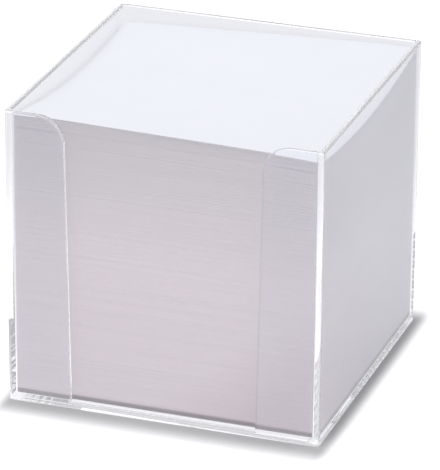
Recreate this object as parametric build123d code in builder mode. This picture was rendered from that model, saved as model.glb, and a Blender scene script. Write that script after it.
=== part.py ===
from build123d import *

# Clear note box for loose square note sheets.
#
# A one-piece injection-moulded tray of clear plastic, open at the top, with a finger slot
# down the middle of its front wall. It is filled with loose white sheets: the pile is flat
# for most of its height, and the last sheets curl up along their front and back edges.
#
# Millimetres. The origin is the middle of the footprint on the table, +Z is up, and the
# front wall with the finger slot faces -Y.

import os
from math import cos, radians, sin, tan

# ---- the moulded box ----
rim_width = 95.0  # outside, square, measured at the open top
box_height = 90.0
wall = 1.9
base_thickness = 2.0
draft_angle = 0.16  # degrees, every wall leans out a little so that the box leaves its mould
outer_corner_radius = 1.2
inner_corner_radius = 0.5
edge_softening = 0.7  # the radius on the rim and round the slot

# ---- the finger slot in the front wall ----
slot_foot_width = 56.0  # between the jambs, at the base
slot_draft_angle = 1.05  # degrees, each jamb leans away from the middle
shoulder_radius = 8.5  # where a jamb turns into the rim

# ---- the underside ----
standing_rim = 4.0  # width of the flat band that touches the table
underside_recess = 0.3
gate_well_diameter = 8.0  # the round dimple that keeps the gate mark off the table
gate_well_depth = 0.4
gate_mark_diameter = 2.0

# ---- the note sheets ----
sheet_size = 90.0
sheet_thickness = 0.1
sheet_pitch = 0.115  # a sheet and the air under it
sheets_per_pack = 26
pack_count = 26
curled_count = 24  # the sheets on top of the flat pile, down from the top one
edge_curl = 3.6  # how far the top sheet's front and back edges rise above its middle
drift = 0.08  # how far a sheet lies off the middle of the pile
drift_turn = 137.5  # degrees from one sheet's drift to the next one's
seat_gap = 0.02  # air under the lowest sheet

os.makedirs("parts", exist_ok=True)


# ---- worked out from the above ----
def wall_lean(height):
    """How far a drafted wall leans out over a height."""
    return height * tan(radians(draft_angle))


foot_width = rim_width - 2 * wall_lean(box_height)
well_depth = box_height - base_thickness
well_rim_width = rim_width - 2 * wall
well_floor_width = well_rim_width - 2 * wall_lean(well_depth)
slot_rim_width = slot_foot_width + 2 * well_depth * tan(radians(slot_draft_angle))
recess_width = foot_width - 2 * standing_rim
flat_sheet_count = sheets_per_pack * pack_count


# ---- the clear box ----
def drafted_block(foot, rim, low, high, corner_radius):
    """A square block between two heights, wider at the top, with rounded uprights."""
    with BuildPart() as block:
        for side, mode in ((Plane.XZ, Mode.ADD), (Plane.YZ, Mode.INTERSECT)):
            with BuildSketch(side):
                with BuildLine():
                    Polyline((-foot / 2, low), (foot / 2, low), (rim / 2, high), (-rim / 2, high), close=True)
                make_face()
            extrude(amount=rim, both=True, mode=mode)
        uprights = [edge for edge in block.edges() if edge.bounding_box().size.Z > (high - low) / 2]
        fillet(uprights, radius=corner_radius)
    return block.part


def stays_sharp(edge):
    """Whether an edge only crosses the front wall, is a seam at an upright, or lies low on the base."""
    size, centre = edge.bounding_box().size, edge.center()
    crosses_the_wall = size.Y > wall / 2 and size.X < wall / 2 and size.Z < wall / 2
    upright_seam = size.Z > box_height / 2 and abs(centre.X) > slot_foot_width / 2 + wall
    on_the_floor = centre.Z < base_thickness + 0.01 and centre.Y > -well_floor_width / 2 - wall / 2
    under_the_foot = centre.Z < 0.01
    return crosses_the_wall or upright_seam or on_the_floor or under_the_foot


outside = drafted_block(foot_width, rim_width, 0, box_height, outer_corner_radius)
well = drafted_block(well_floor_width, well_rim_width, base_thickness, box_height, inner_corner_radius)

with BuildPart() as clear_box:
    add(outside)
    add(well, mode=Mode.SUBTRACT)

    # the finger slot, through the front wall from the rim down to the base
    with BuildSketch(Plane.XZ.offset(rim_width / 2 - 1.5 * wall)):
        with BuildLine():
            Polyline(
                (-slot_foot_width / 2, base_thickness),
                (slot_foot_width / 2, base_thickness),
                (slot_rim_width / 2, box_height),
                (-slot_rim_width / 2, box_height),
                close=True,
            )
        make_face()
    extrude(amount=2 * wall, mode=Mode.SUBTRACT)

    # its two shoulders, where the jambs run over into the rim
    short_edges = clear_box.edges().filter_by(Axis.Y).filter_by(lambda edge: edge.length < 2 * wall)
    fillet(short_edges.group_by(Axis.Z)[-1], radius=shoulder_radius)

    # the rim and the slot are a little soft to the finger
    fillet([edge for edge in clear_box.edges() if not stays_sharp(edge)], radius=edge_softening)

    # the underside stands on a band round its edge, and a well keeps the gate mark off the table
    with BuildSketch():
        Rectangle(recess_width, recess_width)
    extrude(amount=underside_recess, mode=Mode.SUBTRACT)
    with BuildSketch(Plane.XY.offset(underside_recess)):
        Circle(gate_well_diameter / 2)
        Circle(gate_mark_diameter / 2, mode=Mode.SUBTRACT)
    extrude(amount=gate_well_depth, mode=Mode.SUBTRACT)
clear_box.part.label = "clear_box"
export_step(clear_box.part, "parts/clear_box.step")


# ---- the flat part of the pile, in packs of loose sheets ----
def sheet_place(number):
    """The middle of a sheet's underside, counted from 0 at the bottom: each drifts another way."""
    turn = radians(drift_turn * number)
    return drift * cos(turn), drift * sin(turn), base_thickness + seat_gap + sheet_pitch * number


on_its_underside = (Align.CENTER, Align.CENTER, Align.MIN)
for pack in range(pack_count):
    name = f"sheet_pack_{pack + 1:02d}"
    first = pack * sheets_per_pack
    with BuildPart() as sheet_pack:
        with Locations([sheet_place(number) for number in range(first, first + sheets_per_pack)]):
            Box(sheet_size, sheet_size, sheet_thickness, align=on_its_underside)
    sheet_pack.part.label = name
    export_step(sheet_pack.part, f"parts/{name}.step")


# ---- the curled sheets on top of it ----
for order in range(curled_count):
    name = "top_sheet" if order == 0 else f"curled_sheet_{order + 1:02d}"
    x, y, z = sheet_place(flat_sheet_count + curled_count - 1 - order)
    curl = edge_curl * (1 - order / curled_count)
    half = sheet_size / 2
    with BuildPart() as curled_sheet:
        with BuildSketch(Plane(origin=(x - half, y, z), x_dir=(0, 1, 0), z_dir=(1, 0, 0))):
            with BuildLine():
                ThreePointArc((-half, curl), (0, 0), (half, curl))
                Line((half, curl), (half, curl + sheet_thickness))
                ThreePointArc((half, curl + sheet_thickness), (0, sheet_thickness), (-half, curl + sheet_thickness))
                Line((-half, curl + sheet_thickness), (-half, curl))
            make_face()
        extrude(amount=sheet_size)
    curled_sheet.part.label = name
    export_step(curled_sheet.part, f"parts/{name}.step")
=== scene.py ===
"""A clear moulded note box, filled with loose square note sheets.

The box keeps its own solid and gets a clear plastic. Every sheet is modelled again as paper: a
flat sheet is made once for the pressed packs and once, more finely, for the loose ones on top.
Each copy is bent, shifted and laid on the one below. Lengths are in metres. The slot in the
front wall faces -Y, and +Z is up.
"""

import math
import random

import bpy
from mathutils import Matrix, Vector


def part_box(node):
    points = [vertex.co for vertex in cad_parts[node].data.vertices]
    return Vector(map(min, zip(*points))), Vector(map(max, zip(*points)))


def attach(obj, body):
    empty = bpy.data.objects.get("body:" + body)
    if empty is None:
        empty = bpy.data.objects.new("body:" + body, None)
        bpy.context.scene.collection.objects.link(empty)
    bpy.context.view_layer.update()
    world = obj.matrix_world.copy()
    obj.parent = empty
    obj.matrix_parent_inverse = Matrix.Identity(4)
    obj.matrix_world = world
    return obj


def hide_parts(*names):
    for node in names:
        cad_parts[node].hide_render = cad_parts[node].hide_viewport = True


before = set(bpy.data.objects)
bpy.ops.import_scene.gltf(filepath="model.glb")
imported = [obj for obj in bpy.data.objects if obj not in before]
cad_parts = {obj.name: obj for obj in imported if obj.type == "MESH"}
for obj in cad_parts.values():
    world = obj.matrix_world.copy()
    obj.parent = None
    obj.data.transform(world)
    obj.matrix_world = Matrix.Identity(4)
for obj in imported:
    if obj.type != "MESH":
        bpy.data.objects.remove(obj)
bpy.ops.object.select_all(action="DESELECT")
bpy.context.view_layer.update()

MM = 0.001
WHITE = (1.0, 1.0, 1.0)
BLACK = (0.0, 0.0, 0.0)

# ---- the camera, as fitted to the corners of the box in the photograph ----
IMAGE_HEIGHT = 470  # pixels
FOCAL_PIXELS = 4102.0
CAMERA_AZIMUTH = math.radians(18.98)  # towards the right wall
CAMERA_ELEVATION = math.radians(23.18)
CAMERA_ROLL = math.radians(0.40)
CAMERA_DISTANCE = 1.2003
AIM = Vector((0.0, 0.0, 45.0)) * MM  # half way up the box
AIM_RIGHT = 0.96 * MM  # how far the picture's middle lies from it, to the right and up
AIM_UP = -5.0 * MM
SENSOR_HEIGHT = 36.0  # in the camera's own millimetres

# ---- the plastic ----
PLASTIC_TINT = (0.97, 0.972, 1.0)
PLASTIC_ROUGHNESS = 0.01
PLASTIC_IOR = 1.59
RIPPLE_SCALE = 45.0  # the slight unevenness that the mould leaves
RIPPLE_STRENGTH = 0.01
RIPPLE_DEPTH = 0.4 * MM
GLANCING_POWER = 5.0  # how steeply the light that gets through falls off at a glancing angle

# ---- the paper ----
SHEETS_PER_PACK = 26
SHEET_SIZE = 90.0 * MM
SHEET_THICKNESS = 0.1 * MM
PACK_CUTS = 5  # how often a sheet in a pack is cut along each side, to bend
LOOSE_CUTS = 23  # and a loose one on top
SHEET_RISE = 1.25 * MM  # how far the top sheet's middle lies over a pressed pile
SHEET_SAG = 3.55 * MM  # how much further up its front and back edges curl
SHEET_TILT = -0.4 * MM  # how much a straight tilt raises its back edge, and lowers its front one
SHEET_LEAN = 0.4 * MM  # how much a straight tilt raises its right edge
CORNER_TWIST = 1.35 * MM  # how much more one pair of its corners curls up
SIDE_DROOP = 0.4 * MM  # how far its left and right edges turn down again
DROOP_POWER = 6  # the higher, the nearer to the edge the droop begins
FIRST_CURLED = 420  # sheets from here up bend a little more, each one, up to the top sheet
CURL_POWER = 2  # the higher, the more of the curl belongs to the last sheets
SHEET_DRIFT = 0.02 * MM  # how far the sheets of a pack lie off one another
SHEET_TURN = 0.0003  # and how far they are turned, in radians
LOOSE_SHARE = 2.0  # the loose sheets on top lie off by this many times as much
LOOSE_WAVE = 0.05 * MM  # how high the top sheet's waves are at its front and back edges
FAST_WAVE = 3.1  # how far each of the two waves runs over half a sheet, in radians
SLOW_WAVE = 1.3
WAVE_STEP = 0.9  # and how much further on they begin from one sheet to the next
GAP_UNEVENNESS = 1.6  # a gap in a pack is up to 1 + this many times as wide as the tightest
GAP_POWER = 12  # the higher, the fewer gaps are wide
SEED = 11

# ---- the paper's colours, and the light and shade painted on its edges ----
FACE_COLOURS = (0.80, 0.82, 0.855), (0.84, 0.85, 0.88)
# the pinks are painted light: pinkish light falling on the front and the bottom, not the paper's own
# colour
PAINTED_PINKS = (0.875, 0.80, 0.83), (0.94, 0.868, 0.898)
EDGE_GREYS = (0.88, 0.87, 0.90), (0.94, 0.93, 0.955)
STREAKS_ACROSS = 12.0  # streaks per metre along the edges, and up the pile
STREAKS_UP = 1100.0
STREAK_CONTRAST = 0.9
PAINTED_PINK_SLOPE = (0.0, -20.0, -8.0)  # how fast the grey turns to the painted pink light along each axis, per metre
PAINTED_PINK_START = 0.5  # and how far it has turned at the middle of the box's foot
PAINTED_SHADE_COLOURS = WHITE, (0.90, 0.865, 0.885)
PAINTED_SHADE_SLOPE = (33.0, 0.0, -40.0)  # the same for the painted shade at the foot of the right side
PAINTED_SHADE_START = 0.315
SHADOW_PAINTED_UP_TO = 2.9 * MM  # painted shadow: the lowest edges are dark up to here, and lighter up to the second height
SHADOW_PAINTED_GONE_AT = 3.9 * MM
SHADOW_PAINTED_SHARE = 0.48

# ---- the light ----
SKY_COLOUR = (0.97, 0.975, 1.0)
SKY_STRENGTH = 0.88
WHITE_STRENGTH = 0.93  # what shows all round, for a ray that is seen
FLOOR_SIZE = 6.0
FLOOR_COLOUR = (0.55, 0.548, 0.552)
FLOOR_GLOW = 0.8  # what the floor adds for the camera, away from the box
FOOT_HALF = 47.0 * MM  # half the box's width at its foot
SHADOW_REACH = 13.0 * MM  # how far from the box's foot the floor's shadow shows: real shade, shaped as painted shadow where the glow fades
SHADOW_SHIFT = (1.0 * MM, -2.0 * MM, 0.0)  # the painted shadow falls a little to the right and the front
SHADOW_ENDS = (2.4, 1.0, 1.0)  # how much sooner it ends along each axis
# painted light: seen through the plastic, the floor glows most under and near the box, where it lies in
# shade
PAINTED_GLOW_UNDER_BOX = 0.75  # what the floor adds under the box, where it is seen through the plastic
BENT_GLOW = 0.85  # and what it adds outside, this far from the box
BENT_REACH = 3.0 * MM
BENT_FAR_GLOW = 0.32  # and this far from it
BENT_FADE = 150.0 * MM
MIRRORED_GLOW = 0.1  # what it adds where it is seen in a reflection
LAMP_PLACE = (-0.20, -0.40, 0.92)
LAMP_SIZE = 0.6
LAMP_WATTS = 2.4
WALL_BOUNCES = 200  # inside the plastic
PAPER_BOUNCES = 8  # between the sheets and the floor

rng = random.Random(SEED)


# ---- small helpers for materials ----
def new_material(name):
    """A new material, its node tree and its Principled shader."""
    material = bpy.data.materials.new(name)
    material.use_nodes = True
    tree = material.node_tree
    return material, tree, tree.nodes["Principled BSDF"]


def node(tree, kind, **values):
    """A new node, with its properties and the defaults of its inputs set."""
    made = tree.nodes.new(kind)
    for name, value in values.items():
        if name in made.inputs:
            made.inputs[name].default_value = value
        else:
            setattr(made, name, value)
    return made


def paint(obj, *materials):
    """Gives an object these materials in place of its own."""
    obj.data.materials.clear()
    for material in materials:
        obj.data.materials.append(material)


def fill(tree, made, values):
    """Fills a node's first inputs: links a socket, and sets anything else."""
    for place, value in enumerate(values):
        if isinstance(value, bpy.types.NodeSocket):
            tree.links.new(value, made.inputs[place])
        else:
            made.inputs[place].default_value = value


def join_values(tree, operation, first, second, clamped=False):
    """A Math node that combines two sockets, or a socket and a number."""
    made = node(tree, "ShaderNodeMath", operation=operation, use_clamp=clamped)
    fill(tree, made, (first, second))
    return made.outputs["Value"]


def join_vectors(tree, operation, *values):
    """A Vector Math node on sockets and vectors, and its output: a number for a length or a product."""
    made = node(tree, "ShaderNodeVectorMath", operation=operation)
    fill(tree, made, values)
    return made.outputs["Value" if operation in ("LENGTH", "DOT_PRODUCT") else "Vector"]


def object_place(tree):
    """The place on the object, in its own coordinates."""
    return tree.nodes.new("ShaderNodeTexCoord").outputs["Object"]


def set_inputs(made, **values):
    """Sets a node's inputs. Their names are written with _ for a space."""
    for name, value in values.items():
        made.inputs[name.replace("_", " ")].default_value = value


# ---- node group: streaks ----
def streaks_group():
    """A mask of fine level streaks, from 0 to 1, stretched along X and Y."""
    group = bpy.data.node_groups.new("level_streaks", "ShaderNodeTree")
    for name in ("Across", "Up", "Contrast"):
        group.interface.new_socket(name, in_out="INPUT", socket_type="NodeSocketFloat")
    group.interface.new_socket("Mask", in_out="OUTPUT", socket_type="NodeSocketFloat")
    inside = group.nodes.new("NodeGroupInput")
    outside = group.nodes.new("NodeGroupOutput")
    stretch = group.nodes.new("ShaderNodeCombineXYZ")
    fill(group, stretch, (inside.outputs["Across"], inside.outputs["Across"], inside.outputs["Up"]))
    stretched = join_vectors(group, "MULTIPLY", object_place(group), stretch.outputs["Vector"])
    noise = node(group, "ShaderNodeTexNoise", Scale=1.0, Detail=3.0, Roughness=0.6)
    group.links.new(stretched, noise.inputs["Vector"])
    # the contrast spreads the noise about its middle
    middle = join_values(group, "SUBTRACT", noise.outputs["Fac"], 0.5)
    spread = node(group, "ShaderNodeMath", operation="MULTIPLY_ADD", use_clamp=True)
    fill(group, spread, (middle, inside.outputs["Contrast"], 0.5))
    group.links.new(spread.outputs["Value"], outside.inputs["Mask"])
    return group


LEVEL_STREAKS = streaks_group()


def streaks(tree, across, up, contrast):
    """The streak mask, placed in a material with its own values."""
    made = tree.nodes.new("ShaderNodeGroup")
    made.node_tree = LEVEL_STREAKS
    set_inputs(made, Across=across, Up=up, Contrast=contrast)
    return made.outputs["Mask"]


def blend_colours(tree, mask, low, high):
    """A colour between two, by a mask. Each of the two is a colour or a socket."""
    mix = tree.nodes.new("ShaderNodeMix")
    mix.data_type = "RGBA"
    for name, value in (("A", low), ("B", high)):
        if isinstance(value, bpy.types.NodeSocket):
            tree.links.new(value, mix.inputs[name])
        else:
            mix.inputs[name].default_value = (*value, 1.0)
    tree.links.new(mask, mix.inputs["Factor"])
    return mix.outputs["Result"]


def choose_shader(tree, factor, first, second):
    """One of two shaders: the first where the factor is 0, the second where it is 1."""
    choose = tree.nodes.new("ShaderNodeMixShader")
    fill(tree, choose, (factor, first, second))
    return choose.outputs["Shader"]


# ---- materials ----
def clear_plastic():
    """Clear polystyrene: bends light strongly, very slightly uneven from its mould."""
    material, tree, shader = new_material("clear_plastic")
    set_inputs(shader, Base_Color=(*PLASTIC_TINT, 1.0), Roughness=PLASTIC_ROUGHNESS)
    set_inputs(shader, IOR=PLASTIC_IOR, Transmission_Weight=1.0)
    ripple = node(tree, "ShaderNodeTexNoise", Scale=RIPPLE_SCALE, Detail=1.0)
    bump = node(tree, "ShaderNodeBump", Strength=RIPPLE_STRENGTH, Distance=RIPPLE_DEPTH)
    tree.links.new(object_place(tree), ripple.inputs["Vector"])
    tree.links.new(ripple.outputs["Fac"], bump.inputs["Height"])
    tree.links.new(bump.outputs["Normal"], shader.inputs["Normal"])
    # light on its way to the paper and the floor goes straight through, less of it at a glancing angle
    facing = tree.nodes.new("ShaderNodeLayerWeight").outputs["Facing"]
    glancing = join_values(tree, "POWER", facing, GLANCING_POWER)
    passed = blend_colours(tree, glancing, WHITE, BLACK)
    through = tree.nodes.new("ShaderNodeBsdfTransparent")
    tree.links.new(passed, through.inputs["Color"])
    rays = tree.nodes.new("ShaderNodeLightPath")
    unbent = join_values(tree, "MAXIMUM", rays.outputs["Is Shadow Ray"], rays.outputs["Is Diffuse Ray"])
    chosen = choose_shader(tree, unbent, shader.outputs["BSDF"], through.outputs["BSDF"])
    tree.links.new(chosen, tree.nodes["Material Output"].inputs["Surface"])
    return material


def paper_face():
    """The face of a note sheet: white with a trace of blue, faintly cloudy, with a fine tooth."""
    material, tree, shader = new_material("note_paper_face")
    set_inputs(shader, Roughness=0.85, Specular_IOR_Level=0.25)
    place = object_place(tree)
    cloud = node(tree, "ShaderNodeTexNoise", Scale=60.0, Detail=4.0, Roughness=0.6)
    tooth = node(tree, "ShaderNodeTexNoise", Scale=6000.0, Detail=2.0)
    bump = node(tree, "ShaderNodeBump", Strength=0.12, Distance=0.02 * MM)
    tree.links.new(place, cloud.inputs["Vector"])
    tree.links.new(place, tooth.inputs["Vector"])
    tree.links.new(blend_colours(tree, cloud.outputs["Fac"], *FACE_COLOURS), shader.inputs["Base Color"])
    tree.links.new(tooth.outputs["Fac"], bump.inputs["Height"])
    tree.links.new(bump.outputs["Normal"], shader.inputs["Normal"])
    return material


def slope_mask(tree, place, slope, start):
    """A mask that changes evenly along a direction, kept between 0 and 1."""
    return join_values(tree, "ADD", join_vectors(tree, "DOT_PRODUCT", place, slope), start, clamped=True)


def paper_edge():
    """The cut edges of the sheets: in fine level streaks, with painted pink light towards the front and
    the bottom, painted shade at the right side's foot and a painted shadow along the bottom.
    """
    material, tree, shader = new_material("note_paper_edge")
    set_inputs(shader, Roughness=0.95, Specular_IOR_Level=0.1)
    place = object_place(tree)
    mask = streaks(tree, STREAKS_ACROSS, STREAKS_UP, STREAK_CONTRAST)
    # painted light: the edges turn pink towards the front and the bottom
    painted_pink = blend_colours(tree, mask, *PAINTED_PINKS)
    grey = blend_colours(tree, mask, *EDGE_GREYS)
    colour = blend_colours(tree, slope_mask(tree, place, PAINTED_PINK_SLOPE, PAINTED_PINK_START), grey, painted_pink)
    # painted shade: the foot of the right side is a little darker, away from the light
    painted_shade = blend_colours(tree, slope_mask(tree, place, PAINTED_SHADE_SLOPE, PAINTED_SHADE_START), *PAINTED_SHADE_COLOURS)
    with_painted_shade = join_vectors(tree, "MULTIPLY", colour, painted_shade)
    # painted shadow: the lowest sheets' edges are darker, where they lie in the dark between the pile
    # and the base
    height = tree.nodes.new("ShaderNodeSeparateXYZ")
    painted_shadow = node(tree, "ShaderNodeMapRange", interpolation_type="SMOOTHSTEP")
    set_inputs(painted_shadow, From_Min=SHADOW_PAINTED_UP_TO, From_Max=SHADOW_PAINTED_GONE_AT, To_Min=SHADOW_PAINTED_SHARE)
    with_painted_shadow = node(tree, "ShaderNodeVectorMath", operation="SCALE")
    tree.links.new(place, height.inputs["Vector"])
    tree.links.new(height.outputs["Z"], painted_shadow.inputs["Value"])
    tree.links.new(with_painted_shade, with_painted_shadow.inputs["Vector"])
    tree.links.new(painted_shadow.outputs["Result"], with_painted_shadow.inputs["Scale"])
    tree.links.new(with_painted_shadow.outputs["Vector"], shader.inputs["Base Color"])
    return material


PLASTIC = clear_plastic()
FACE = paper_face()
EDGE = paper_edge()


# ---- the sheets, from the bottom up ----
packs = sorted(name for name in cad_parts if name.startswith("sheet_pack_"))
curled = sorted(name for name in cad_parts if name.startswith("curled_sheet_"))
loose = list(reversed(curled)) + ["top_sheet"]
SHEET_COUNT = len(packs) * SHEETS_PER_PACK + len(loose)


def model_sheet(cuts):
    """One flat sheet, its underside on the ground: a plane, subdivided and given its thickness."""
    bpy.ops.mesh.primitive_plane_add(size=SHEET_SIZE, location=(0, 0, SHEET_THICKNESS / 2))
    sheet = bpy.context.object
    bpy.ops.object.mode_set(mode="EDIT")
    bpy.ops.mesh.select_all(action="SELECT")
    bpy.ops.mesh.subdivide(number_cuts=cuts)
    bpy.ops.object.mode_set(mode="OBJECT")
    bpy.ops.object.transform_apply(location=True, rotation=True, scale=True)
    thicken = sheet.modifiers.new("thickness", "SOLIDIFY")
    thicken.thickness = SHEET_THICKNESS
    thicken.offset = 0.0
    bpy.ops.object.modifier_apply(modifier=thicken.name)
    paint(sheet, FACE, EDGE)
    for face in sheet.data.polygons:
        face.material_index = 0 if abs(face.normal.z) > 0.5 else 1
    sheet.select_set(False)
    return sheet


def copy_of(sheet, name):
    """A copy of a sheet with its own mesh."""
    copy = sheet.copy()
    copy.data = sheet.data.copy()
    copy.name = name
    bpy.context.collection.objects.link(copy)
    return copy


def shape_sheet(sheet, place, turn, lift):
    """Turns a flat sheet, moves it to its place and raises each point by lift(u, v), from -1 to 1."""
    half = SHEET_SIZE / 2
    turned = Matrix.Rotation(turn, 3, "Z")
    for vertex in sheet.data.vertices:
        u, v = vertex.co.x / half, vertex.co.y / half
        vertex.co = turned @ vertex.co + Vector(place) + Vector((0.0, 0.0, lift(u, v)))


def joined(pieces, name):
    """Makes one object of several."""
    bpy.ops.object.select_all(action="DESELECT")
    for piece in pieces:
        piece.select_set(True)
    bpy.context.view_layer.objects.active = pieces[0]
    bpy.ops.object.join()
    pieces[0].name = name
    pieces[0].select_set(False)
    return pieces[0]


def shares(count):
    """How a height is shared out over the gaps between sheets: most are tight, a few open up."""
    weights = [1.0 + GAP_UNEVENNESS * rng.random() ** GAP_POWER for _ in range(count)]
    total = sum(weights)
    return [weight / total for weight in weights]


def shift(scale):
    """How far a sheet lies off its place along X and Y."""
    return rng.gauss(0, scale * SHEET_DRIFT), rng.gauss(0, scale * SHEET_DRIFT)


def curl_share(number):
    """How much of the top sheet's curl the sheet with this number has, counted from the bottom."""
    return max(0.0, (number - FIRST_CURLED) / (SHEET_COUNT - FIRST_CURLED)) ** CURL_POWER


def bent(number, wave=0.0):
    """A sheet's lift(u, v): its front and back edges curl up, one pair of corners more, and it waves."""
    share = curl_share(number)
    phase = WAVE_STEP * number + rng.random()

    def lift(u, v):
        level = SHEET_RISE + SHEET_TILT * v + SHEET_LEAN * u
        curl = SHEET_SAG * v * v + CORNER_TWIST * u * v - SIDE_DROOP * u**DROOP_POWER
        waves = v * v * math.sin(FAST_WAVE * u + phase) * math.cos(SLOW_WAVE * u - phase)
        return share * (level + curl) + wave * waves

    return lift


pack_sheet = model_sheet(cuts=PACK_CUTS)
fine_sheet = model_sheet(cuts=LOOSE_CUTS)

number = 0
for name in packs:
    low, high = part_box(name)
    spare = (high.z - low.z) - SHEETS_PER_PACK * SHEET_THICKNESS
    z = low.z
    sheets = []
    for gap in shares(SHEETS_PER_PACK):
        number += 1
        sheet = copy_of(pack_sheet, "sheet")
        shape_sheet(sheet, (*shift(1.0), z), rng.gauss(0, SHEET_TURN), bent(number))
        z += SHEET_THICKNESS + gap * spare
        sheets.append(sheet)
    pile = joined(sheets, f"loose_{name}")
    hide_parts(name)
    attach(pile, "refill")

for order, name in enumerate(loose, start=1):
    number += 1
    low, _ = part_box(name)
    sheet = copy_of(fine_sheet, f"loose_{name}")
    place = (*shift(LOOSE_SHARE), low.z)
    wave = LOOSE_WAVE * order / len(loose)
    shape_sheet(sheet, place, rng.gauss(0, LOOSE_SHARE * SHEET_TURN), bent(number, wave))
    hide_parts(name)
    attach(sheet, "top_note" if name == "top_sheet" else "refill")

for spare_model in (pack_sheet, fine_sheet):
    bpy.data.objects.remove(spare_model)

# ---- the box ----
paint(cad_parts["clear_box"], PLASTIC)


# ---- the studio ----
def seen_ray(tree):
    """1 for a ray that shows something: one from the camera, or reflected or bent on its way."""
    rays = tree.nodes.new("ShaderNodeLightPath")
    direct = join_values(tree, "MAXIMUM", rays.outputs["Is Camera Ray"], rays.outputs["Is Glossy Ray"])
    return join_values(tree, "MAXIMUM", direct, rays.outputs["Is Transmission Ray"])


def glow(tree, distance, reach, strength, start=0.0):
    """A brightness that goes from its start at the box's foot to its full strength a reach away."""
    fade = node(tree, "ShaderNodeMapRange", interpolation_type="SMOOTHSTEP")
    set_inputs(fade, From_Max=reach, To_Min=start, To_Max=strength)
    tree.links.new(distance, fade.inputs["Value"])
    return fade.outputs["Result"]


def way_from_the_box(tree):
    """How far a point on the floor lies outside the box's foot, as the painted shadow and the floor's
    glow count it.
    """
    shifted = join_vectors(tree, "SUBTRACT", object_place(tree), SHADOW_SHIFT)
    level = join_vectors(tree, "ABSOLUTE", shifted)
    outside = join_vectors(tree, "SUBTRACT", level, (FOOT_HALF, FOOT_HALF, 0.0))
    kept = join_vectors(tree, "MAXIMUM", outside, (0.0, 0.0, 0.0))
    return join_vectors(tree, "LENGTH", join_vectors(tree, "MULTIPLY", kept, SHADOW_ENDS))


def floor_material():
    """A matt floor that glows white for the camera and runs into the white around it, but for the shadow
    round the box's foot: real shade, shaped as painted shadow where the glow fades. Seen through the
    plastic, it glows as painted light under and near the box.
    """
    material, tree, shader = new_material("floor_white")
    set_inputs(shader, Base_Color=(*FLOOR_COLOUR, 1.0), Roughness=1.0, Specular_IOR_Level=0.0)
    set_inputs(shader, Emission_Color=(*WHITE, 1.0))
    distance = way_from_the_box(tree)
    rays = tree.nodes.new("ShaderNodeLightPath")
    # painted shadow: the glow that whitens the floor for the camera fades towards the box's foot, over
    # real shade
    open_floor = glow(tree, distance, SHADOW_REACH, FLOOR_GLOW)
    to_camera = join_values(tree, "MULTIPLY", open_floor, rays.outputs["Is Camera Ray"])
    # painted light: under the box and near it, the floor glows for rays seen through the plastic, which
    # lightens the walls and the foot
    near = glow(tree, distance, BENT_REACH, BENT_GLOW, PAINTED_GLOW_UNDER_BOX)
    far = glow(tree, distance, BENT_FADE, BENT_GLOW - BENT_FAR_GLOW)
    around = join_values(tree, "SUBTRACT", near, far)
    through = join_values(tree, "MULTIPLY", around, rays.outputs["Is Transmission Ray"])
    mirrored = join_values(tree, "MULTIPLY", rays.outputs["Is Glossy Ray"], MIRRORED_GLOW)
    strength = join_values(tree, "MAXIMUM", join_values(tree, "MAXIMUM", to_camera, through), mirrored)
    tree.links.new(strength, shader.inputs["Emission Strength"])
    return material


bpy.ops.mesh.primitive_plane_add(size=FLOOR_SIZE, location=(0, 0, 0))
floor = bpy.context.object
floor.name = "floor"
paint(floor, floor_material())

world = bpy.data.worlds.new("studio")
bpy.context.scene.world = world
world.use_nodes = True
sky = world.node_tree
light = sky.nodes["Background"]
set_inputs(light, Color=(*SKY_COLOUR, 1.0), Strength=SKY_STRENGTH)
white = node(sky, "ShaderNodeBackground", Color=(*WHITE, 1.0), Strength=WHITE_STRENGTH)
shown = choose_shader(sky, seen_ray(sky), light.outputs["Background"], white.outputs["Background"])
sky.links.new(shown, sky.nodes["World Output"].inputs["Surface"])

lamp_data = bpy.data.lights.new("overhead_softbox", "AREA")
lamp_data.size = LAMP_SIZE
lamp_data.energy = LAMP_WATTS
lamp = bpy.data.objects.new("overhead_softbox", lamp_data)
lamp.location = LAMP_PLACE
lamp.rotation_euler = (lamp.location - AIM).to_track_quat("Z", "Y").to_euler()
bpy.context.collection.objects.link(lamp)


# ---- the camera ----
def camera_axes():
    """The camera's right, up and backward directions."""
    level = math.cos(CAMERA_ELEVATION)
    x, y = math.sin(CAMERA_AZIMUTH) * level, -math.cos(CAMERA_AZIMUTH) * level
    back = Vector((x, y, math.sin(CAMERA_ELEVATION)))
    right = (-back).cross(Vector((0, 0, 1))).normalized()
    up = right.cross(-back)
    cosine, sine = math.cos(CAMERA_ROLL), math.sin(CAMERA_ROLL)
    return cosine * right + sine * up, cosine * up - sine * right, back


right, up, back = camera_axes()
camera_data = bpy.data.cameras.new("camera")
camera_data.sensor_fit = "VERTICAL"
camera_data.sensor_height = SENSOR_HEIGHT
camera_data.lens = FOCAL_PIXELS * SENSOR_HEIGHT / IMAGE_HEIGHT
camera_data.clip_end = 20.0
camera = bpy.data.objects.new("camera", camera_data)
bpy.context.collection.objects.link(camera)
axes = Matrix((right, up, back)).transposed().to_4x4()
position = AIM + AIM_RIGHT * right + AIM_UP * up + CAMERA_DISTANCE * back
camera.matrix_world = Matrix.Translation(position) @ axes
bpy.context.scene.camera = camera

bpy.context.scene.view_settings.view_transform = "Standard"

# light goes to and fro between the two faces of a clear wall before it comes out at an edge
cycles = bpy.context.scene.cycles
cycles.max_bounces = WALL_BOUNCES
cycles.glossy_bounces = WALL_BOUNCES
cycles.transmission_bounces = WALL_BOUNCES
cycles.diffuse_bounces = PAPER_BOUNCES
